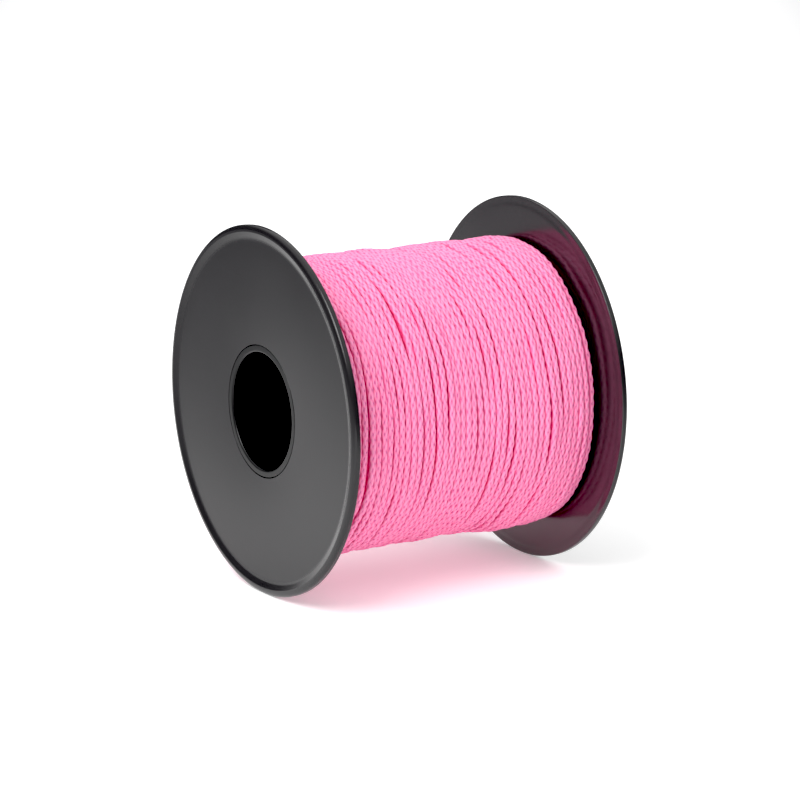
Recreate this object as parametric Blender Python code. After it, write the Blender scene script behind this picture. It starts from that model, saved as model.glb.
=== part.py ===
"""A spool of braided cord: two flanges on an arbor tube, a winding drum between them, and the wound line.

The spool's axis is Y, its middle is the origin, and all sizes are in metres.
"""

import math

import bmesh
import bpy
from mathutils import Vector

# Overall sizes
SPOOL_LENGTH = 0.068
FLANGE_RADIUS = 0.040
BORE_RADIUS = 0.0127
FIT_GAP = 0.0003

# Flange
RIM_THICKNESS = 0.0016
RIM_ROUND_WIDTH = 0.00145
RIM_ROUND_DEPTH = 0.0008
RIM_INNER_CHAMFER = 0.00015
DISH_DEPTH = 0.00056
DISH_RADIUS = 0.0370
STEP_DEPTH = 0.00012
STEP_INNER_RADIUS = 0.0377
STEP_OUTER_RADIUS = 0.0387
SPIGOT_HEIGHT = 0.0020
SPIGOT_WALL = 0.0012

# Arbor tube
TUBE_WALL = 0.00155
TUBE_OUTER_CHAMFER = 0.00015
TUBE_MOUTH_RADIUS = 0.00045

# Winding drum
DRUM_RADIUS = 0.0225
DRUM_WALL = 0.0016
SLOT_LENGTH = 0.0060
SLOT_WIDTH = 0.0020
SLOT_FROM_DRUM_END = 0.0030

# Wound line
WINDING_RADIUS = 0.0322
WINDING_END_GAP = 0.00035
WINDING_EDGE = 0.0006

# Round shapes
TURN_STEPS = 96
RIM_ARC_STEPS = 8
MOUTH_ARC_STEPS = 4
SMOOTH_ANGLE = math.radians(30)

# Places worked out from the sizes above
HALF_LENGTH = SPOOL_LENGTH / 2
WEB_OUTER_Y = HALF_LENGTH - DISH_DEPTH
RIM_INNER_Y = HALF_LENGTH - RIM_THICKNESS
WEB_INNER_Y = RIM_INNER_Y - STEP_DEPTH
TUBE_RADIUS = BORE_RADIUS + TUBE_WALL
DRUM_HALF_LENGTH = WEB_INNER_Y - FIT_GAP
DRUM_BORE_RADIUS = DRUM_RADIUS - DRUM_WALL
WINDING_HALF_LENGTH = WEB_INNER_Y - WINDING_END_GAP


def clear_scene():
    for item in list(bpy.data.objects):
        bpy.data.objects.remove(item, do_unlink=True)


def material(name, colour, roughness, metallic=0.0):
    made = bpy.data.materials.new(name)
    made.use_nodes = True
    shader = made.node_tree.nodes["Principled BSDF"]
    shader.inputs["Base Color"].default_value = (*colour, 1.0)
    shader.inputs["Roughness"].default_value = roughness
    shader.inputs["Metallic"].default_value = metallic
    return made


def arc(centre, radius, start, end, steps):
    """Points (radius, y) along an arc, both ends included. Angles run from the radius towards +Y."""
    points = []
    for i in range(steps + 1):
        angle = start + (end - start) * i / steps
        points.append((centre[0] + radius * math.cos(angle), centre[1] + radius * math.sin(angle)))
    return points


def turned_mesh(name, outline):
    """A closed outline of (radius, y) points, turned once round the Y axis."""
    mesh = bpy.data.meshes.new(name)
    shape = bmesh.new()
    corners = [shape.verts.new((radius, y, 0.0)) for radius, y in outline]
    edges = [shape.edges.new((corners[i - 1], corners[i])) for i in range(len(corners))]
    bmesh.ops.spin(
        shape,
        geom=corners + edges,
        cent=(0.0, 0.0, 0.0),
        axis=(0.0, 1.0, 0.0),
        angle=2 * math.pi,
        steps=TURN_STEPS,
        use_merge=True,
    )
    bmesh.ops.recalc_face_normals(shape, faces=shape.faces)
    shape.to_mesh(mesh)
    shape.free()
    mesh.shade_smooth()
    mesh.set_sharp_from_angle(angle=SMOOTH_ANGLE)
    return mesh


def add_object(name, mesh, finish, parent):
    added = bpy.data.objects.new(name, mesh)
    added.data.materials.append(finish)
    added.parent = parent
    bpy.context.scene.collection.objects.link(added)
    return added


def flange_outline():
    """The rear flange's section: outer face at +Y, rim rounded on that side, spigot that enters the drum."""
    round_centre = (FLANGE_RADIUS - RIM_ROUND_WIDTH, HALF_LENGTH - RIM_ROUND_DEPTH)
    hole = TUBE_RADIUS + FIT_GAP
    spigot_outer = DRUM_BORE_RADIUS - FIT_GAP
    spigot_inner = spigot_outer - SPIGOT_WALL
    spigot_end = WEB_INNER_Y - SPIGOT_HEIGHT
    outline = [(hole, WEB_OUTER_Y), (DISH_RADIUS, WEB_OUTER_Y)]
    for i in range(RIM_ARC_STEPS + 1):
        angle = math.pi / 2 * (1 - i / RIM_ARC_STEPS)
        radius = round_centre[0] + RIM_ROUND_WIDTH * math.cos(angle)
        outline.append((radius, round_centre[1] + RIM_ROUND_DEPTH * math.sin(angle)))
    outline += [
        (FLANGE_RADIUS, RIM_INNER_Y + RIM_INNER_CHAMFER),
        (FLANGE_RADIUS - RIM_INNER_CHAMFER, RIM_INNER_Y),
        (STEP_OUTER_RADIUS, RIM_INNER_Y),
        (STEP_INNER_RADIUS, WEB_INNER_Y),
        (spigot_outer, WEB_INNER_Y),
        (spigot_outer, spigot_end),
        (spigot_inner, spigot_end),
        (spigot_inner, WEB_INNER_Y),
        (hole, WEB_INNER_Y),
    ]
    return outline


def tube_outline():
    """The arbor tube's section: ends flush with the webs, chamfered outside and rounded into the bore."""
    outer = TUBE_RADIUS
    mouth_centre = BORE_RADIUS + TUBE_MOUTH_RADIUS
    mouth_y = WEB_OUTER_Y - TUBE_MOUTH_RADIUS
    far_end = arc((mouth_centre, mouth_y), TUBE_MOUTH_RADIUS, math.pi / 2, math.pi, MOUTH_ARC_STEPS)
    near_end = [(radius, -y) for radius, y in reversed(far_end)]
    outline = [(outer, WEB_OUTER_Y - TUBE_OUTER_CHAMFER), (outer - TUBE_OUTER_CHAMFER, WEB_OUTER_Y)]
    outline += far_end + near_end
    outline += [(outer - TUBE_OUTER_CHAMFER, -WEB_OUTER_Y), (outer, TUBE_OUTER_CHAMFER - WEB_OUTER_Y)]
    return outline


def ring_outline(inner, outer, half_length, edge):
    """A plain ring's section, with its two outer edges cut back."""
    return [
        (inner, half_length),
        (outer - edge, half_length),
        (outer, half_length - edge),
        (outer, edge - half_length),
        (outer - edge, -half_length),
        (inner, -half_length),
    ]


def make_flanges(parent):
    """Both flanges are one moulding; the front one is turned round to face -Y."""
    plastic = material("flange_black", (0.018, 0.018, 0.020), 0.34)
    mesh = turned_mesh("flange", flange_outline())
    add_object("flange_rear", mesh, plastic, parent)
    front = add_object("flange_front", mesh.copy(), plastic, parent)
    front.rotation_euler = (0.0, 0.0, math.pi)


def make_arbor_tube(parent):
    plastic = material("tube_black", (0.022, 0.022, 0.024), 0.38)
    add_object("arbor_tube", turned_mesh("arbor_tube", tube_outline()), plastic, parent)


def slot_cutter(parent):
    """A block through the top of the drum's wall, near the front flange, where the line is anchored."""
    slot_y = -DRUM_HALF_LENGTH + SLOT_FROM_DRUM_END
    mesh = bpy.data.meshes.new("slot_cutter")
    shape = bmesh.new()
    bmesh.ops.create_cube(shape, size=1.0)
    bmesh.ops.scale(shape, vec=Vector((SLOT_LENGTH, SLOT_WIDTH, 4 * DRUM_WALL)), verts=shape.verts)
    shape.to_mesh(mesh)
    shape.free()
    cutter = bpy.data.objects.new("slot_cutter", mesh)
    cutter.location = (0.0, slot_y, DRUM_RADIUS - DRUM_WALL / 2)
    cutter.parent = parent
    cutter.hide_render = True
    cutter.display_type = "WIRE"
    bpy.context.scene.collection.objects.link(cutter)
    return cutter


def make_drum(parent):
    plastic = material("drum_black", (0.020, 0.020, 0.022), 0.45)
    outline = ring_outline(DRUM_BORE_RADIUS, DRUM_RADIUS, DRUM_HALF_LENGTH, FIT_GAP)
    drum = add_object("winding_drum", turned_mesh("winding_drum", outline), plastic, parent)
    slot = drum.modifiers.new("anchor_slot", "BOOLEAN")
    slot.operation = "DIFFERENCE"
    slot.solver = "EXACT"
    slot.object = slot_cutter(parent)


def make_wound_line(parent):
    """The body of the winding, from the drum out to the mean height of the top layer."""
    fibre = material("line_pink", (0.90, 0.16, 0.42), 0.62)
    outline = ring_outline(DRUM_RADIUS + FIT_GAP, WINDING_RADIUS, WINDING_HALF_LENGTH, WINDING_EDGE)
    add_object("wound_line", turned_mesh("wound_line", outline), fibre, parent)


def main():
    clear_scene()
    spool = bpy.data.objects.new("spool", None)
    bpy.context.scene.collection.objects.link(spool)
    make_flanges(spool)
    make_arbor_tube(spool)
    make_drum(spool)
    make_wound_line(spool)


main()
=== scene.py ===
"""Looks of the line spool: fifty metres of pink braid wound on a black moulded spool.

The spool's axis is Y and its middle is the origin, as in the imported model. All sizes are in metres.
"""

import math

import bpy
import numpy as np
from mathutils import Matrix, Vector

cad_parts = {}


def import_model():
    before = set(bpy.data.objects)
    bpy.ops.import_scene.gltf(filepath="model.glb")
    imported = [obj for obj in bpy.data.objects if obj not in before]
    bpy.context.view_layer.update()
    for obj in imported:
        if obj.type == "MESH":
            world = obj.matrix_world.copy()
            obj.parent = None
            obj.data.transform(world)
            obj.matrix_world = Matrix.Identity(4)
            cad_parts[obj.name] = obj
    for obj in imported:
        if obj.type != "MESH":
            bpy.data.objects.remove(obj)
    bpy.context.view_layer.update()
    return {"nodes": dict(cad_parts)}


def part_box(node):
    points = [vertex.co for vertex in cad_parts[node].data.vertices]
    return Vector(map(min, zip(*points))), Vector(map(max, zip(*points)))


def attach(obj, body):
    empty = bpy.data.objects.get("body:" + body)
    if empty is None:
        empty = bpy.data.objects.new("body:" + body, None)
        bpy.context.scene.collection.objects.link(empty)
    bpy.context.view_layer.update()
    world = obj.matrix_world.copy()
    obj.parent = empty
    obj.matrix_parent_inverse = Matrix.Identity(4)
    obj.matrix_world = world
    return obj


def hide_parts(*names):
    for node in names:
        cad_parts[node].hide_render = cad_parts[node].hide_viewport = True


# Camera
VIEW_AZIMUTH = math.radians(58.95)
VIEW_ELEVATION = math.radians(13.0)
VIEW_DISTANCE = 0.9856
LENS_MM = 204.55
SENSOR_MM = 36.0
SHIFT_X = 0.0053
SHIFT_Y = -0.0084

# Floor, with a painted pool of light and a painted glow in a strip along the view
SHEET_HALF_WIDTH = 0.10
SHEET_FADE_END = 0.28
# Painted glow: the floor's strip emits light though it is no lamp, which lightens the shadows on it
SHEET_PAINTED_GLOW = 0.33
FLOOR_REACH = 6.0

# Key light and surroundings
KEY_PLACE = (0.50, -1.00, 1.10)
KEY_SIZE = (0.9, 0.9)
KEY_POWER = 18.0
SKY_STRENGTH = 1.15
SKY_LOW = (0.30, (0.06, 0.06, 0.065))
SKY_HIGH = (0.60, (1.0, 1.0, 1.0))

# Tone: the brightness that is shown as pure black
BLACK_POINT = 0.028

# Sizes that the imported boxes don't tell
FIT_GAP = 0.0003
RIM_THICKNESS = 0.0016
RIM_ROUND_WIDTH = 0.00145
RIM_ROUND_DEPTH = 0.0008
RIM_INNER_EDGE = 0.00022
DISH_DEPTH = 0.00056
DISH_RADIUS = 0.0370
STEP_DEPTH = 0.00012
STEP_INNER_RADIUS = 0.0377
STEP_OUTER_RADIUS = 0.0387
SPIGOT_HEIGHT = 0.0020
SPIGOT_WALL = 0.0012
DRUM_WALL = 0.0016
TUBE_OUTER_CHAMFER = 0.00010
TUBE_MOUTH_RADIUS = 0.00045
SEAM_WIDTH = 0.00014
BORE_RADIUS = 0.0127
SLOT_FROM_DRUM_END = 0.0030

# The cord: its braid's lay is the length in which a yarn goes round once
CORD_LENGTH = 50.0
CORD_DIAMETER = 0.0015
BRAID_LAY = 0.0104
CARRIERS_EACH_WAY = 4
YARN_RELIEF = 0.00011
WEAVE_RELIEF = 0.00005
TOP_RELIEF_SHARE = 0.9
SIDE_RELIEF_SHARE = 2.0
SQUARENESS = 3.3
SLOW_TWIST = (2.2, 9000)
QUICK_TWIST = (0.25, 900)
LEAD_LENGTH = 0.006
TUCK_LENGTH = 0.02
TUCK_SHARE = 0.7
END_ROUNDING = 0.0006

# The weave in the shading: how much yarns go over and under, and how much the right-hand ones stand out
WEAVE_SHARE = 0.33
YARN_LEAN = 0.10

# Winding: layers are counted from 0 at the drum
TURN_SAMPLES = 720
HEIGHT_CELL = 0.00005
TURNS_PER_LAYER = 42.07
FIRST_SWOLLEN_LAYER = 4
FIRST_LOOSE_LAYER = 5
TOP_LAYER = 6
FLANGE_CLEARANCE = 0.00005
WINDING_SEED = 11

# How turns press on each other: shares of the cord's round section, and of a straight pull over high spots
CONTACT_SHARE = 0.963
PRESSED_SHARE = 0.950
TAUT_SHARE = 0.5
FLANGE_SINK = 0.0003
FLANGE_SINK_WIDTH = 0.0022

# How turns wander sideways: each pair is a period in turns and a size
DRIFTS = ((0.09, 0.00012), (0.21, 0.00025))
STRAYS = ((0.06, 0.00010), (0.13, 0.00034))
TOP_STRAY = (0.055, 0.00032)
DRIFT_KEPT = 0.80
TIGHT_SHARE = 0.15
TOP_SQUEEZE = 0.97
TOP_GAP = 0.00040
JOIN_SAMPLES = 60

# How a turn slides into the grooves below it
SETTLE_PASSES = 10
SETTLE_STEP = 0.00005
SETTLE_REACH_CELLS = 3
SETTLE_SLOPE_LIMIT = 1.2

# Bell widths, in samples, that keep the cord's line smooth
SLIDE_BLUR = 6
PATH_BLUR = 5
RADIUS_BLUR = 4

# Swells of the outer layers
SWELL_SIZE = 0.00022
SWELL_WIDTH = 0.0085
SWELLS_AROUND = 5
SWELL_SEED = 2163

# Tube of the cord: short rings where it can be seen, long ones deep inside, short ones again at its start
RING_SIDES = 16
START_LENGTH = 0.03
START_RINGS = 60
FINE_STEP = 0.0003
COARSE_STEP = 0.005
FINE_LENGTH = 15.6


def smoothstep(t):
    t = np.clip(t, 0.0, 1.0)
    return t * t * (3 - 2 * t)


def link(obj):
    bpy.context.scene.collection.objects.link(obj)
    return obj


# ---------------------------------------------------------------- node trees


class Nodes:
    """A material's node tree, with short calls for the nodes that the finishes share."""

    def __init__(self, name):
        self.material = bpy.data.materials.new(name)
        self.material.use_nodes = True
        self.tree = self.material.node_tree
        self.shader = self.tree.nodes["Principled BSDF"]

    def add(self, kind, inputs=(), **settings):
        node = self.tree.nodes.new(kind)
        for key, value in settings.items():
            setattr(node, key, value)
        for key, value in dict(inputs).items():
            self.feed(node.inputs[key], value)
        return node

    def feed(self, socket, value):
        if isinstance(value, bpy.types.NodeSocket):
            self.tree.links.new(value, socket)
        else:
            socket.default_value = value

    def attribute(self, name):
        return self.add("ShaderNodeAttribute", attribute_name=name)

    def maths(self, operation, a, b=0.0):
        return self.add("ShaderNodeMath", {0: a, 1: b}, operation=operation).outputs[0]

    def remap(self, value, low, high, to_low, to_high):
        inputs = {"Value": value, "From Min": low, "From Max": high, "To Min": to_low, "To Max": to_high}
        return self.add("ShaderNodeMapRange", inputs).outputs[0]

    def noise(self, vector, scale, detail=2.0, roughness=0.5):
        inputs = {"Vector": vector, "Scale": scale, "Detail": detail, "Roughness": roughness}
        return self.add("ShaderNodeTexNoise", inputs).outputs["Fac"]

    def ramp(self, value, stops):
        node = self.add("ShaderNodeValToRGB", {"Fac": value})
        elements = node.color_ramp.elements
        while len(elements) < len(stops):
            elements.new(0.5)
        for element, (place, colour) in zip(elements, stops):
            element.position = place
            element.color = (*colour, 1.0)
        return node.outputs["Color"]

    def blend(self, share, a, b, mode="MIX"):
        node = self.add("ShaderNodeMix", data_type="RGBA", blend_type=mode)
        self.feed(node.inputs["Factor"], share)
        self.feed(node.inputs["A"], a if isinstance(a, bpy.types.NodeSocket) else (*a, 1.0))
        self.feed(node.inputs["B"], b if isinstance(b, bpy.types.NodeSocket) else (*b, 1.0))
        return node.outputs["Result"]

    def bump(self, height, distance, strength=1.0):
        inputs = {"Height": height, "Distance": distance, "Strength": strength}
        return self.add("ShaderNodeBump", inputs).outputs["Normal"]

    def set(self, **sockets):
        for key, value in sockets.items():
            self.feed(self.shader.inputs[key.replace("_", " ")], value)
        return self.material


# ---------------------------------------------------------------- camera and stage


def add_camera():
    camera = bpy.data.cameras.new("camera")
    camera.sensor_width = SENSOR_MM
    camera.lens = LENS_MM
    camera.shift_x = SHIFT_X
    camera.shift_y = SHIFT_Y
    camera.clip_start = 0.05
    placed = link(bpy.data.objects.new("camera", camera))
    back = Vector(
        (
            math.sin(VIEW_AZIMUTH) * math.cos(VIEW_ELEVATION),
            -math.cos(VIEW_AZIMUTH) * math.cos(VIEW_ELEVATION),
            math.sin(VIEW_ELEVATION),
        )
    )
    placed.location = back * VIEW_DISTANCE
    placed.rotation_euler = back.to_track_quat("Z", "Y").to_euler()
    bpy.context.scene.camera = placed


def floor_finish():
    """A white sheet under and behind the spool with a painted pool of light: a strip along the view is
    white with a painted glow, and fades to pale grey at both sides.
    """
    n = Nodes("floor_white")
    place = n.add("ShaderNodeTexCoord").outputs["Object"]
    aside = (math.cos(VIEW_AZIMUTH), math.sin(VIEW_AZIMUTH), 0.0)
    across = n.add("ShaderNodeVectorMath", {0: place, 1: aside}, operation="DOT_PRODUCT").outputs["Value"]
    # Painted light: white and glowing in a strip along the view, painted grey to both sides in place of
    # light falling off
    painted_light_share = n.remap(n.maths("ABSOLUTE", across), SHEET_HALF_WIDTH, SHEET_FADE_END, 1.0, 0.0)
    colour = n.blend(painted_light_share, (0.30, 0.30, 0.31), (0.93, 0.93, 0.93))
    return n.set(
        Base_Color=colour,
        Roughness=0.6,
        Specular_IOR_Level=0.2,
        Emission_Color=(1.0, 1.0, 1.0, 1.0),
        Emission_Strength=n.maths("MULTIPLY", painted_light_share, SHEET_PAINTED_GLOW),
    )


def add_floor(height):
    mesh = bpy.data.meshes.new("floor")
    corners = [(FLOOR_REACH * x, FLOOR_REACH * y, height) for x, y in ((-1, -1), (1, -1), (1, 1), (-1, 1))]
    mesh.from_pydata(corners, [], [(0, 1, 2, 3)])
    floor = link(bpy.data.objects.new("floor", mesh))
    mesh.materials.append(floor_finish())


def add_key_light():
    """One wide soft light, aimed at the spool's middle."""
    data = bpy.data.lights.new("key", "AREA")
    data.shape = "RECTANGLE"
    data.size, data.size_y = KEY_SIZE
    data.energy = KEY_POWER
    lamp = link(bpy.data.objects.new("key", data))
    lamp.location = KEY_PLACE
    lamp.rotation_euler = Vector(KEY_PLACE).to_track_quat("Z", "Y").to_euler()


def add_world():
    """Surroundings that are dark near the horizon and below it, and white above."""
    world = bpy.data.worlds.new("studio")
    world.use_nodes = True
    tree = world.node_tree
    background = tree.nodes["Background"]
    coords = tree.nodes.new("ShaderNodeTexCoord")
    split = tree.nodes.new("ShaderNodeSeparateXYZ")
    ramp = tree.nodes.new("ShaderNodeValToRGB")
    tree.links.new(coords.outputs["Generated"], split.inputs["Vector"])
    tree.links.new(split.outputs["Z"], ramp.inputs["Fac"])
    tree.links.new(ramp.outputs["Color"], background.inputs["Color"])
    for stop, (place, colour) in zip(ramp.color_ramp.elements, (SKY_LOW, SKY_HIGH)):
        stop.position = place
        stop.color = (*colour, 1.0)
    background.inputs["Strength"].default_value = SKY_STRENGTH
    bpy.context.scene.world = world


def light_stage():
    add_world()
    add_key_light()
    view = bpy.context.scene.view_settings
    view.view_transform = "Standard"
    view.use_curve_mapping = True
    view.curve_mapping.black_level = (BLACK_POINT, BLACK_POINT, BLACK_POINT)
    view.curve_mapping.update()


# ---------------------------------------------------------------- winding


def blurred(values, width):
    """Samples along the cord, smoothed with a bell curve that many samples wide."""
    reach = int(3 * width)
    bell = np.exp(-0.5 * (np.arange(-reach, reach + 1) / width) ** 2)
    padded = np.concatenate([np.full(reach, values[0]), values, np.full(reach, values[-1])])
    return np.convolve(padded, bell / bell.sum(), "valid")


def wander(count, period, rng):
    """A smooth random curve from -1 to 1, with one new value each period."""
    knots = rng.uniform(-1, 1, int(count / period) + 4)
    place = np.arange(count) / period
    i = place.astype(int)
    f = place - i
    a, b, c, d = knots[i], knots[i + 1], knots[i + 2], knots[i + 3]
    return 0.5 * (2 * b + (c - a) * f + (2 * a - 5 * b + 4 * c - d) * f**2 + (3 * b - a - 3 * c + d) * f**3)


def swells(rows, columns):
    """A smooth random height over the winding, from -1 to 1, that varies along the spool and round it."""
    rng = np.random.default_rng(SWELL_SEED)
    across = int(columns * HEIGHT_CELL / SWELL_WIDTH) + 4
    knots = rng.uniform(-1, 1, (SWELLS_AROUND, across))
    turn = np.arange(rows) / rows * SWELLS_AROUND
    place = np.arange(columns) * HEIGHT_CELL / SWELL_WIDTH
    i = turn.astype(int)
    j = place.astype(int)
    down = smoothstep(turn - i)[:, None]
    over = smoothstep(place - j)[None, :]
    here = knots[i % SWELLS_AROUND]
    further = knots[(i + 1) % SWELLS_AROUND]
    first = here[:, j] * (1 - over) + here[:, j + 1] * over
    second = further[:, j] * (1 - over) + further[:, j + 1] * over
    return first * (1 - down) + second * down


def taut(radius, mean_radius):
    """The radius of a string pulled tight over one turn of supports, straight between the high ones."""
    angle = np.arange(len(radius)) * 2 * math.pi / TURN_SAMPLES
    bow = mean_radius * angle**2 / 2
    flat = radius - bow
    kept = []
    for i in range(len(flat)):
        while len(kept) > 1:
            a, b = kept[-2], kept[-1]
            if (flat[b] - flat[a]) * (i - b) > (flat[i] - flat[b]) * (b - a):
                break
            kept.pop()
        kept.append(i)
    return np.interp(angle, angle[kept], flat[kept]) + bow


class Winding:
    """The height of the wound cord over the drum, and the cord's own line, laid down one turn at a time."""

    def __init__(self, drum_radius, half_width):
        self.half_width = half_width
        self.contact = CORD_DIAMETER / 2 * CONTACT_SHARE
        self.reach = int(self.contact / HEIGHT_CELL)
        self.offsets = np.arange(-self.reach, self.reach + 1)
        aside = self.offsets * HEIGHT_CELL
        self.crown = PRESSED_SHARE * np.sqrt(np.maximum(self.contact**2 - aside**2, 0))
        self.columns = int(2 * half_width / HEIGHT_CELL) + 2
        self.height = np.full((TURN_SAMPLES, self.columns), drum_radius)
        self.limit = half_width - CORD_DIAMETER / 2 - FLANGE_CLEARANCE
        self.rows = np.arange(TURN_SAMPLES)[:, None]
        self.below = self.height
        self.mean_radius = drum_radius + self.crown.max()
        self.swells = SWELL_SIZE * swells(TURN_SAMPLES, self.columns)

    def cells(self, y, shift=0):
        """The columns under the cord at each sample of a turn, moved sideways by that many cells."""
        middle = np.rint((y + self.half_width) / HEIGHT_CELL).astype(int)
        middle = np.clip(middle, self.reach + abs(shift), self.columns - 1 - self.reach - abs(shift))
        return middle[:, None] + self.offsets + shift

    def start_layer(self):
        self.below = self.height.copy()

    def settled(self, y, passes):
        """Slides one turn sideways into the grooves of the layer below."""
        step = SETTLE_REACH_CELLS
        for _ in range(passes):
            ahead = (self.below[self.rows, self.cells(y, step)] + self.crown).max(axis=1)
            behind = (self.below[self.rows, self.cells(y, -step)] + self.crown).max(axis=1)
            slope = (ahead - behind) / (2 * step * HEIGHT_CELL)
            slope = np.clip(slope, -SETTLE_SLOPE_LIMIT, SETTLE_SLOPE_LIMIT)
            y = y - blurred(slope * SETTLE_STEP, SLIDE_BLUR)
        return np.clip(y, -self.limit, self.limit)

    def lay(self, y, before, on_top, swollen):
        """Lays one turn at y, on from the (y, radius) before it. Returns the turn's y and radius."""
        if before:
            y = blurred(np.concatenate([[before[0]], y]), PATH_BLUR)[1:]
        support = self.below if on_top else self.height
        radius = (support[self.rows, self.cells(y)] + self.crown).max(axis=1)
        radius += TAUT_SHARE * (taut(radius, self.mean_radius) - radius)
        if swollen:
            radius += self.swells[self.rows[:, 0], self.cells(y)[:, self.reach]]
        radius -= FLANGE_SINK * smoothstep(1 - (self.limit - np.abs(y)) / FLANGE_SINK_WIDTH)
        if before:
            radius = blurred(np.concatenate([[before[1]], radius]), RADIUS_BLUR)[1:]
        cells = self.cells(y)
        top = np.maximum(self.height[self.rows, cells], radius[:, None] + self.crown)
        self.height[self.rows, cells] = top
        self.mean_radius = float(radius.mean())
        return y, radius

    def depth_under(self, points):
        """How far each point lies below the crests of the finished winding near it."""
        reach = int(CORD_DIAMETER / 2 / HEIGHT_CELL)
        crests = self.height.copy()
        step = 1
        while step <= reach:
            crests[:, step:] = np.maximum(crests[:, step:], crests[:, :-step])
            crests[:, :-step] = np.maximum(crests[:, :-step], crests[:, step:])
            step *= 2
        turn = np.mod(np.arctan2(points[:, 0], points[:, 2]) / (2 * math.pi), 1.0)
        row = (turn * TURN_SAMPLES).astype(int) % TURN_SAMPLES
        column = np.clip(((points[:, 1] + self.half_width) / HEIGHT_CELL).astype(int), 0, self.columns - 1)
        return crests[row, column] - np.hypot(points[:, 0], points[:, 2])


def wind_cord(drum_radius, half_width, start_y):
    """The cord's line as angle, y and radius, one sample each half degree, and the finished winding."""
    rng = np.random.default_rng(WINDING_SEED)
    winding = Winding(drum_radius, half_width)
    limit = winding.limit
    width = 2 * winding.contact
    pitch = 2 * limit / TURNS_PER_LAYER
    count = int(CORD_LENGTH / (2 * math.pi * drum_radius) * TURN_SAMPLES) + 2 * TURN_SAMPLES
    travel = start_y + limit + np.arange(count) * pitch / TURN_SAMPLES
    fold = np.mod(travel, 4 * limit)
    way = np.where(fold < 2 * limit, 1.0, -1.0)
    guide = way * (np.mod(travel, 2 * limit) - limit)
    layer = (travel // (2 * limit)).astype(int)
    to_end = np.mod(-travel, 2 * limit)
    drift = sum(size * wander(count, period * TURN_SAMPLES, rng) for period, size in DRIFTS)
    stray = sum(size * wander(count, period * TURN_SAMPLES, rng) for period, size in STRAYS)
    parting = TOP_STRAY[1] * wander(count, TOP_STRAY[0] * TURN_SAMPLES, rng)
    join = smoothstep(np.arange(TURN_SAMPLES) / JOIN_SAMPLES)
    all_y, all_radius = [], []
    shift = np.zeros(TURN_SAMPLES)
    y = np.full(TURN_SAMPLES, -limit)
    reached = None
    total = 0.0
    start = 0
    while total < CORD_LENGTH:
        turn = slice(start, start + TURN_SAMPLES)
        previous = slice(max(start - TURN_SAMPLES, 0), max(start, TURN_SAMPLES))
        if layer[start] != layer[previous.start] or start == 0:
            winding.start_layer()
        loose = 1.0 if layer[start] >= FIRST_LOOSE_LAYER else TIGHT_SHARE
        on_top = layer[start] >= TOP_LAYER
        tight = width * (TOP_SQUEEZE if on_top else 1.0)
        shift = shift * DRIFT_KEPT + drift[turn] * loose
        shift = shift[-1] * (1 - join) + shift * join if start else shift
        ahead = way[turn]
        beside = ahead * y + tight
        wish = guide[turn] + ahead * shift + stray[turn] * loose + parting[turn] * on_top
        wish = ahead * winding.settled(wish, SETTLE_PASSES)
        wish = np.where((layer[turn] == layer[previous]) & (start > 0), np.maximum(wish, beside), wish)
        if on_top and layer[previous.start] == layer[start]:
            wish = np.minimum(wish, beside + TOP_GAP)
        wish = np.minimum(wish, ahead * guide[turn] + to_end[turn] * (1 - tight / pitch))
        y = np.clip(blurred(ahead * wish, SLIDE_BLUR), -limit, limit)
        y, radius = winding.lay(y, reached, on_top, layer[start] >= FIRST_SWOLLEN_LAYER)
        reached = (y[-1], radius[-1])
        all_y.append(y)
        all_radius.append(radius)
        total += winding.mean_radius * 2 * math.pi
        start += TURN_SAMPLES
    y = np.concatenate(all_y)
    angle = np.arange(len(y)) * 2 * math.pi / TURN_SAMPLES
    return angle, y, np.concatenate(all_radius), winding


# ---------------------------------------------------------------- cord


def cord_line(drum_radius, half_width, drum_half_length):
    """The centres of the cord's rings, their directions and places along the cord, and the winding."""
    start_y = -drum_half_length + SLOT_FROM_DRUM_END
    angle, y, radius, winding = wind_cord(drum_radius, half_width, start_y)
    lead = np.clip(angle * drum_radius / LEAD_LENGTH, 0, 1)
    radius = radius - (1 - smoothstep(lead)) * (CORD_DIAMETER + DRUM_WALL)
    step = np.sqrt(
        np.diff(angle) ** 2 * ((radius[1:] + radius[:-1]) / 2) ** 2 + np.diff(y) ** 2 + np.diff(radius) ** 2
    )
    along = np.concatenate([[0.0], np.cumsum(step)])
    coarse_end = CORD_LENGTH - FINE_LENGTH
    places = np.concatenate(
        [
            np.linspace(0.0, START_LENGTH, START_RINGS, endpoint=False),
            np.arange(START_LENGTH, coarse_end, COARSE_STEP),
            np.arange(coarse_end, CORD_LENGTH - FINE_STEP / 2, FINE_STEP),
            [CORD_LENGTH],
        ]
    )
    angle = np.interp(places, along, angle)
    y = np.interp(places, along, y)
    radius = np.interp(places, along, radius)
    tuck = smoothstep(1 - (CORD_LENGTH - places) / TUCK_LENGTH)
    radius = radius - tuck * CORD_DIAMETER * TUCK_SHARE
    outward = np.stack([np.sin(angle), np.zeros_like(angle), np.cos(angle)], axis=1)
    centres = outward * radius[:, None]
    centres[:, 1] = y
    return centres, outward, places, winding


def braid_surface(right, left):
    """The braid's relief where it is that many yarns across the right-hand yarns and the left-hand ones."""
    across_right = np.cos(math.pi * right)
    across_left = np.cos(math.pi * left)
    right_height = YARN_RELIEF * abs(across_right) + WEAVE_RELIEF * across_left * np.sign(across_right)
    left_height = YARN_RELIEF * abs(across_left) - WEAVE_RELIEF * across_right * np.sign(across_left)
    return np.maximum(right_height, left_height)


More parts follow.
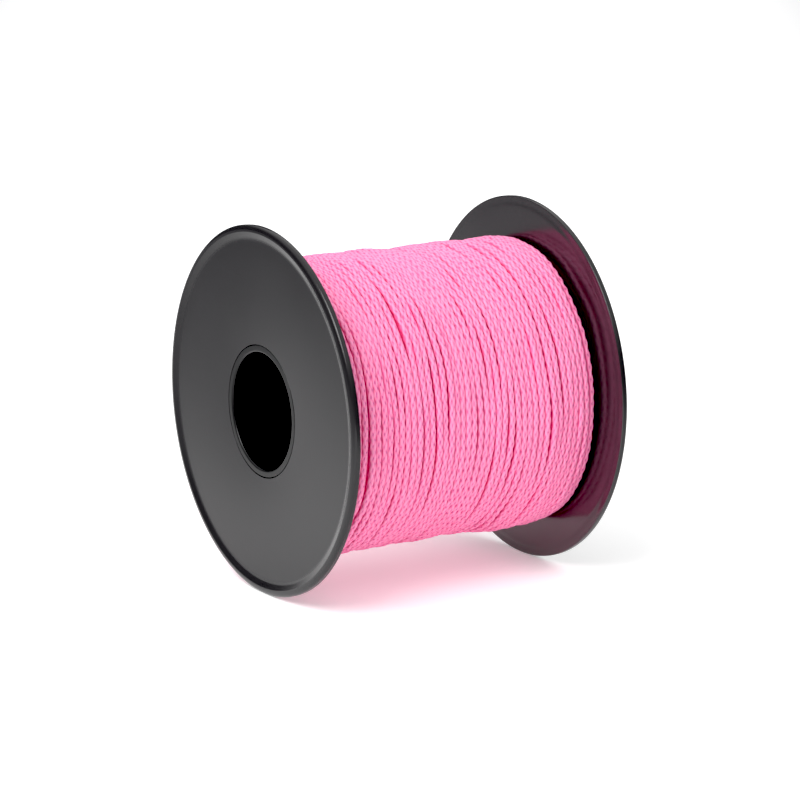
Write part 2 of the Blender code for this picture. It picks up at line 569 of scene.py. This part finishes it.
def build_cord(line):
    """One closed tube along the whole cord, its braid in relief, with the attributes its material needs."""
    centres, outward, along, winding = line
    rings = len(centres)
    forward = np.gradient(centres, axis=0)
    forward /= np.linalg.norm(forward, axis=1)[:, None]
    up = outward - (outward * forward).sum(axis=1)[:, None] * forward
    up /= np.linalg.norm(up, axis=1)[:, None]
    side = np.cross(forward, up)
    rng = np.random.default_rng(WINDING_SEED + 1)
    twist = sum(size * wander(rings, period, rng) for size, period in (SLOW_TWIST, QUICK_TWIST))
    around = np.arange(RING_SIDES) * 2 * math.pi / RING_SIDES
    turn = CARRIERS_EACH_WAY * (np.arange(RING_SIDES + 1) / RING_SIDES + twist[:, None] / (2 * math.pi))
    travel = CARRIERS_EACH_WAY * along[:, None] / BRAID_LAY
    lay = np.stack([turn - travel, turn + travel, np.zeros_like(turn)], axis=2)
    height = braid_surface(lay[:, :-1, 0], lay[:, :-1, 1])
    sideways = np.abs(np.sin(around))
    upright = np.abs(np.cos(around))
    section = (upright**SQUARENESS + sideways**SQUARENESS) ** (-1 / SQUARENESS)
    relief = TOP_RELIEF_SHARE + (SIDE_RELIEF_SHARE - TOP_RELIEF_SHARE) * sideways**2
    surface = CORD_DIAMETER / 2 * section - relief * (YARN_RELIEF + WEAVE_RELIEF - height)
    end_gap = np.minimum(along, CORD_LENGTH - along)[:, None]
    rounding = np.sqrt(np.clip(1 - (1 - np.clip(end_gap / END_ROUNDING, 0, 1)) ** 2, 0.02, 1))
    reach = surface * rounding
    points = (
        centres[:, None, :]
        + (reach * np.cos(around))[:, :, None] * up[:, None, :]
        + (reach * np.sin(around))[:, :, None] * side[:, None, :]
    ).reshape(-1, 3)
    ring = np.arange(rings - 1)[:, None] * RING_SIDES
    corner = np.arange(RING_SIDES)[None, :]
    after = (corner + 1) % RING_SIDES
    quads = np.stack(
        [ring + corner, ring + after, ring + RING_SIDES + after, ring + RING_SIDES + corner], axis=2
    ).reshape(-1, 4)
    last = (rings - 1) * RING_SIDES
    caps = [list(range(RING_SIDES))[::-1], list(range(last, last + RING_SIDES))]
    corners = np.concatenate([quads.reshape(-1), np.array(caps).reshape(-1)])
    totals = np.concatenate([np.full(len(quads), 4), np.full(2, RING_SIDES)])
    starts = np.concatenate([[0], np.cumsum(totals)[:-1]])
    mesh = bpy.data.meshes.new("braided_line")
    mesh.vertices.add(len(points))
    mesh.vertices.foreach_set("co", points.astype(np.float32).reshape(-1))
    mesh.loops.add(len(corners))
    mesh.loops.foreach_set("vertex_index", corners.astype(np.int32))
    mesh.polygons.add(len(totals))
    mesh.polygons.foreach_set("loop_start", starts.astype(np.int32))
    mesh.polygons.foreach_set("loop_total", totals.astype(np.int32))
    mesh.update(calc_edges=True)
    mesh.polygons.foreach_set("use_smooth", np.ones(len(totals), bool))
    side_lay = np.stack([lay[:-1, :-1], lay[:-1, 1:], lay[1:, 1:], lay[1:, :-1]], axis=2).reshape(-1, 3)
    cap_lay = np.zeros((2 * RING_SIDES, 3))
    yarns = mesh.attributes.new("yarns", "FLOAT_VECTOR", "CORNER")
    yarns.data.foreach_set("vector", np.concatenate([side_lay, cap_lay]).astype(np.float32).reshape(-1))
    # Depth below the winding's crests; the material turns it into painted shade in the gaps
    gap_shade_depth = mesh.attributes.new("gap_shade_depth", "FLOAT", "POINT")
    under = winding.depth_under(points) / CORD_DIAMETER
    gap_shade_depth.data.foreach_set("value", np.clip(under, 0, 1).astype(np.float32))
    return link(bpy.data.objects.new("braided_line", mesh)), centres


# ---------------------------------------------------------------- turned pieces


def arc(centre, radius, start, end, steps):
    """Points (radius, y) along an arc, both ends included. Angles run from the radius towards +Y."""
    angle = start + (end - start) * np.arange(steps + 1) / steps
    return [(centre[0] + radius * math.cos(a), centre[1] + radius * math.sin(a)) for a in angle]


def turned(name, outline, segments, mirrored=False):
    """A closed outline of (radius, y) points turned round Y, shaded smooth between its sharp corners."""
    points = np.array(outline)
    count = len(points)
    if mirrored:
        points = points[::-1] * np.array([1.0, -1.0])
    angle = np.arange(segments) * 2 * math.pi / segments
    ring = np.stack([np.sin(angle), np.zeros(segments), np.cos(angle)], axis=1)
    vertices = ring[:, None, :] * points[None, :, :1] + np.array([0.0, 1.0, 0.0]) * points[None, :, 1:]
    faces = []
    for i in range(segments):
        here = i * count
        there = (i + 1) % segments * count
        for k in range(count):
            after = (k + 1) % count
            faces.append((here + k, there + k, there + after, here + after))
    mesh = bpy.data.meshes.new(name)
    mesh.from_pydata(vertices.reshape(-1, 3).tolist(), [], faces)
    mesh.shade_smooth()
    mesh.set_sharp_from_angle(angle=math.radians(32))
    return link(bpy.data.objects.new(name, mesh))


def rounded(points, corner_radii, steps=5):
    """The outline with a small fillet at each corner that has a radius."""
    out = []
    count = len(points)
    for i, (point, radius) in enumerate(zip(points, corner_radii)):
        here = np.array(point)
        if radius == 0:
            out.append(tuple(here))
            continue
        back = np.array(points[i - 1]) - here
        ahead = np.array(points[(i + 1) % count]) - here
        reach = min(radius, np.linalg.norm(back) * 0.45, np.linalg.norm(ahead) * 0.45)
        first = here + back / np.linalg.norm(back) * reach
        last = here + ahead / np.linalg.norm(ahead) * reach
        for t in np.linspace(0, 1, steps + 1):
            out.append(tuple((1 - t) ** 2 * first + 2 * t * (1 - t) * here + t**2 * last))
    return out


def flange_outline(flange_radius, half_length, drum_bore, tube_radius):
    """The rear flange's section: rim rounded on the outer side, a shallow step on the inner one."""
    round_centre = (flange_radius - RIM_ROUND_WIDTH, half_length - RIM_ROUND_DEPTH)
    web_outer = half_length - DISH_DEPTH
    rim_inner = half_length - RIM_THICKNESS
    web_inner = rim_inner - STEP_DEPTH
    hole = tube_radius + SEAM_WIDTH
    spigot_outer = drum_bore - FIT_GAP
    spigot_inner = spigot_outer - SPIGOT_WALL
    spigot_end = web_inner - SPIGOT_HEIGHT
    points = [(hole, web_outer), (DISH_RADIUS, web_outer)]
    radii = [0.00008, 0.0006]
    for angle in np.linspace(math.pi / 2, 0, 17):
        across = RIM_ROUND_WIDTH * math.cos(angle)
        points.append((round_centre[0] + across, round_centre[1] + RIM_ROUND_DEPTH * math.sin(angle)))
        radii.append(0)
    radii[2] = 0.00010
    points += [
        (flange_radius, rim_inner),
        (STEP_OUTER_RADIUS, rim_inner),
        (STEP_INNER_RADIUS, web_inner),
        (spigot_outer, web_inner),
        (spigot_outer, spigot_end),
        (spigot_inner, spigot_end),
        (spigot_inner, web_inner),
        (hole, web_inner),
    ]
    radii += [RIM_INNER_EDGE, 0.0004, 0.0004, 0, 0.0001, 0.0001, 0, 0.0001]
    return rounded(points, radii)


def tube_outline(tube_radius, half_length):
    """The arbor tube, chamfered outside and rounded into the bore at both ends."""
    end_y = half_length - DISH_DEPTH
    mouth = (BORE_RADIUS + TUBE_MOUTH_RADIUS, end_y - TUBE_MOUTH_RADIUS)
    far_end = arc(mouth, TUBE_MOUTH_RADIUS, math.pi / 2, math.pi, 12)
    near_end = [(radius, -y) for radius, y in reversed(far_end)]
    outline = [(tube_radius, end_y - TUBE_OUTER_CHAMFER), (tube_radius - TUBE_OUTER_CHAMFER, end_y)]
    outline += far_end + near_end
    outline += [(tube_radius - TUBE_OUTER_CHAMFER, -end_y), (tube_radius, TUBE_OUTER_CHAMFER - end_y)]
    return outline


# ---------------------------------------------------------------- materials


def yarn_relief(n, own, other, sense):
    """How high one family of yarns stands, from the cosines across its own yarns and across the others."""
    weave = n.maths("MULTIPLY", n.maths("SIGN", own), n.maths("MULTIPLY", other, sense * WEAVE_SHARE))
    return n.maths("ADD", n.maths("MULTIPLY", n.maths("ABSOLUTE", own), 1 - WEAVE_SHARE), weave)


def braid_pattern(n):
    """How high the braid stands, 0 in its holes and 1 on its crowns, and a place along the yarn on top."""
    yarns = n.add("ShaderNodeSeparateXYZ", {"Vector": n.attribute("yarns").outputs["Vector"]}).outputs
    right, left = yarns["X"], yarns["Y"]
    across_right = n.maths("COSINE", n.maths("MULTIPLY", right, math.pi))
    across_left = n.maths("COSINE", n.maths("MULTIPLY", left, math.pi))
    right_height = n.maths("ADD", yarn_relief(n, across_right, across_left, 1.0), YARN_LEAN)
    left_height = yarn_relief(n, across_left, across_right, -1.0)
    right_place = n.add("ShaderNodeCombineXYZ", {"X": right, "Y": left, "Z": 0.0}).outputs["Vector"]
    left_place = n.add("ShaderNodeCombineXYZ", {"X": left, "Y": right, "Z": 7.3}).outputs["Vector"]
    right_on_top = n.maths("GREATER_THAN", right_height, left_height)
    choice = n.add("ShaderNodeMix", {0: right_on_top, 4: left_place, 5: right_place}, data_type="VECTOR")
    return n.maths("MAXIMUM", right_height, left_height), choice.outputs[1]


def line_finish():
    """Bright pink braid: pale crowns, painted shade that makes it deeper pink between yarns and in the
    gaps, and fibres along each yarn.
    """
    n = Nodes("line_braid")
    crown, yarn_place = braid_pattern(n)
    gap_shade_depth = n.attribute("gap_shade_depth").outputs["Fac"]
    fine = n.add("ShaderNodeMapping", {"Vector": yarn_place, "Scale": (13.0, 1.4, 5.3)}).outputs["Vector"]
    threads = n.noise(fine, 1.0, 3.0, 0.6)
    broad = n.add("ShaderNodeMapping", {"Vector": yarn_place, "Scale": (3.1, 0.9, 7.7)}).outputs["Vector"]
    bundles = n.noise(broad, 1.0, 2.0, 0.5)
    place = n.add("ShaderNodeTexCoord").outputs["Object"]
    dye = n.noise(place, 110.0, 3.0, 0.55)
    depth = n.maths("ADD", crown, n.remap(threads, 0.3, 0.7, -0.12, 0.12))
    depth = n.maths("ADD", depth, n.remap(bundles, 0.3, 0.7, -0.22, 0.22))
    # Painted shade: the braid's holes between yarns are darker than its crowns; the thread and bundle noise
    # mixed in is the yarns' own tone
    yarn_colour = n.ramp(
        depth,
        [
            (0.10, (0.55, 0.09, 0.25)),
            (0.38, (0.78, 0.17, 0.38)),
            (0.56, (1.0, 0.25, 0.46)),
            (0.80, (1.0, 0.32, 0.54)),
            (1.0, (1.0, 0.35, 0.57)),
        ],
    )
    faded = n.blend(n.remap(dye, 0.35, 0.7, 0.0, 0.25), yarn_colour, (1.0, 0.34, 0.56))
    # Painted shade: deeper, more saturated pink the further a point lies below the crests, in place of the
    # shade and red interreflection in the gaps
    painted_gap_shade = n.blend(n.remap(gap_shade_depth, 0.16, 0.38, 0.0, 0.9), faded, (0.92, 0.17, 0.40))
    colour = n.blend(n.remap(gap_shade_depth, 0.38, 0.62, 0.0, 1.0), painted_gap_shade, (0.96, 0.10, 0.29))
    height = n.maths("ADD", crown, n.maths("MULTIPLY", threads, 0.35))
    return n.set(
        Base_Color=colour,
        Roughness=n.remap(threads, 0.3, 0.7, 0.55, 0.72),
        Sheen_Weight=0.10,
        Sheen_Roughness=0.4,
        Sheen_Tint=(1.0, 0.45, 0.70, 1.0),
        Specular_IOR_Level=0.15,
        Normal=n.bump(height, 0.00010, 0.6),
    )


def turning_marks(n):
    """Distance from the spool's axis, and very fine rings at that spacing."""
    place = n.add("ShaderNodeTexCoord").outputs["Object"]
    flat = n.add("ShaderNodeVectorMath", {0: place, 1: (1.0, 0.0, 1.0)}, operation="MULTIPLY").outputs[0]
    radius = n.add("ShaderNodeVectorMath", {0: flat}, operation="LENGTH").outputs["Value"]
    ring_place = n.add("ShaderNodeCombineXYZ", {"X": n.maths("MULTIPLY", radius, 2600.0)}).outputs[0]
    rings = n.noise(ring_place, 1.0, 3.0, 0.7)
    return place, radius, rings


def flange_finish():
    """Black moulded plastic: satin web with faint turning marks, gloss on the rim and the inner face."""
    n = Nodes("flange_plastic")
    place, radius, rings = turning_marks(n)
    split = n.add("ShaderNodeSeparateXYZ", {"Vector": place})
    height = n.maths("ABSOLUTE", split.outputs["Y"])
    outer = n.remap(height, 0.0327, 0.0333, 0.0, 1.0)
    web = n.maths("MULTIPLY", outer, n.remap(radius, 0.0368, 0.0372, 1.0, 0.0))
    grain = n.noise(place, 1500.0, 2.0, 0.6)
    smear = n.noise(place, 55.0, 3.0, 0.55)
    colour = n.ramp(smear, [(0.3, (0.024, 0.0232, 0.0248)), (0.7, (0.029, 0.0280, 0.0298))])
    gloss = n.remap(smear, 0.3, 0.7, 0.14, 0.20)
    satin = n.remap(smear, 0.3, 0.7, 0.285, 0.335)
    rough = n.maths("ADD", gloss, n.maths("MULTIPLY", web, n.maths("SUBTRACT", satin, gloss)))
    bumps = n.maths("ADD", n.maths("MULTIPLY", rings, 0.6), n.maths("MULTIPLY", grain, 0.4))
    normal = n.bump(n.maths("MULTIPLY", bumps, n.remap(web, 0.0, 1.0, 0.06, 1.0)), 0.00002, 0.5)
    return n.set(
        Base_Color=colour,
        Roughness=rough,
        Specular_IOR_Level=0.40,
        Coat_Weight=n.remap(height, 0.0326, 0.0324, 0.0, 1.0),
        Coat_Roughness=0.18,
        Normal=normal,
    )


def tube_finish(name, low_rough, high_rough):
    """Black moulded plastic with faint turning marks, as satin as the two roughnesses say."""
    n = Nodes(name)
    place, _, rings = turning_marks(n)
    smear = n.noise(place, 80.0, 3.0, 0.55)
    colour = n.ramp(smear, [(0.3, (0.010, 0.010, 0.0105)), (0.7, (0.014, 0.014, 0.0145))])
    normal = n.bump(rings, 0.00002, 0.35)
    return n.set(
        Base_Color=colour,
        Roughness=n.remap(smear, 0.3, 0.7, low_rough, high_rough),
        Specular_IOR_Level=0.35,
        Normal=normal,
    )


# ---------------------------------------------------------------- scene


def finish_piece(obj, material, node):
    obj.data.materials.clear()
    obj.data.materials.append(material)
    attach(obj, "root")
    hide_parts(node)


def main():
    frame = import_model()
    flange_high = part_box("flange_rear")[1]
    drum_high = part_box("winding_drum")[1]
    tube_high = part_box("arbor_tube")[1]
    flange_radius = flange_high.z
    half_length = flange_high.y
    drum_radius = drum_high.z
    drum_half_length = drum_high.y
    tube_radius = tube_high.z
    half_width = drum_half_length + FIT_GAP

    add_camera()
    line, centres = build_cord(cord_line(drum_radius, half_width, drum_half_length))
    finish_piece(line, line_finish(), "wound_line")

    outline = flange_outline(flange_radius, half_length, drum_radius - DRUM_WALL, tube_radius)
    plastic = flange_finish()
    rear = turned("rear_flange_shell", outline, 288)
    front = turned("front_flange_shell", outline, 288, mirrored=True)
    finish_piece(rear, plastic, "flange_rear")
    finish_piece(front, plastic, "flange_front")
    tube = turned("arbor_tube_shell", tube_outline(tube_radius, half_length), 192)
    finish_piece(tube, tube_finish("tube_plastic", 0.285, 0.335), "arbor_tube")
    drum = frame["nodes"]["winding_drum"]
    drum.material_slots[0].material = tube_finish("drum_plastic", 0.35, 0.45)

    add_floor(-flange_radius)
    light_stage()


main()
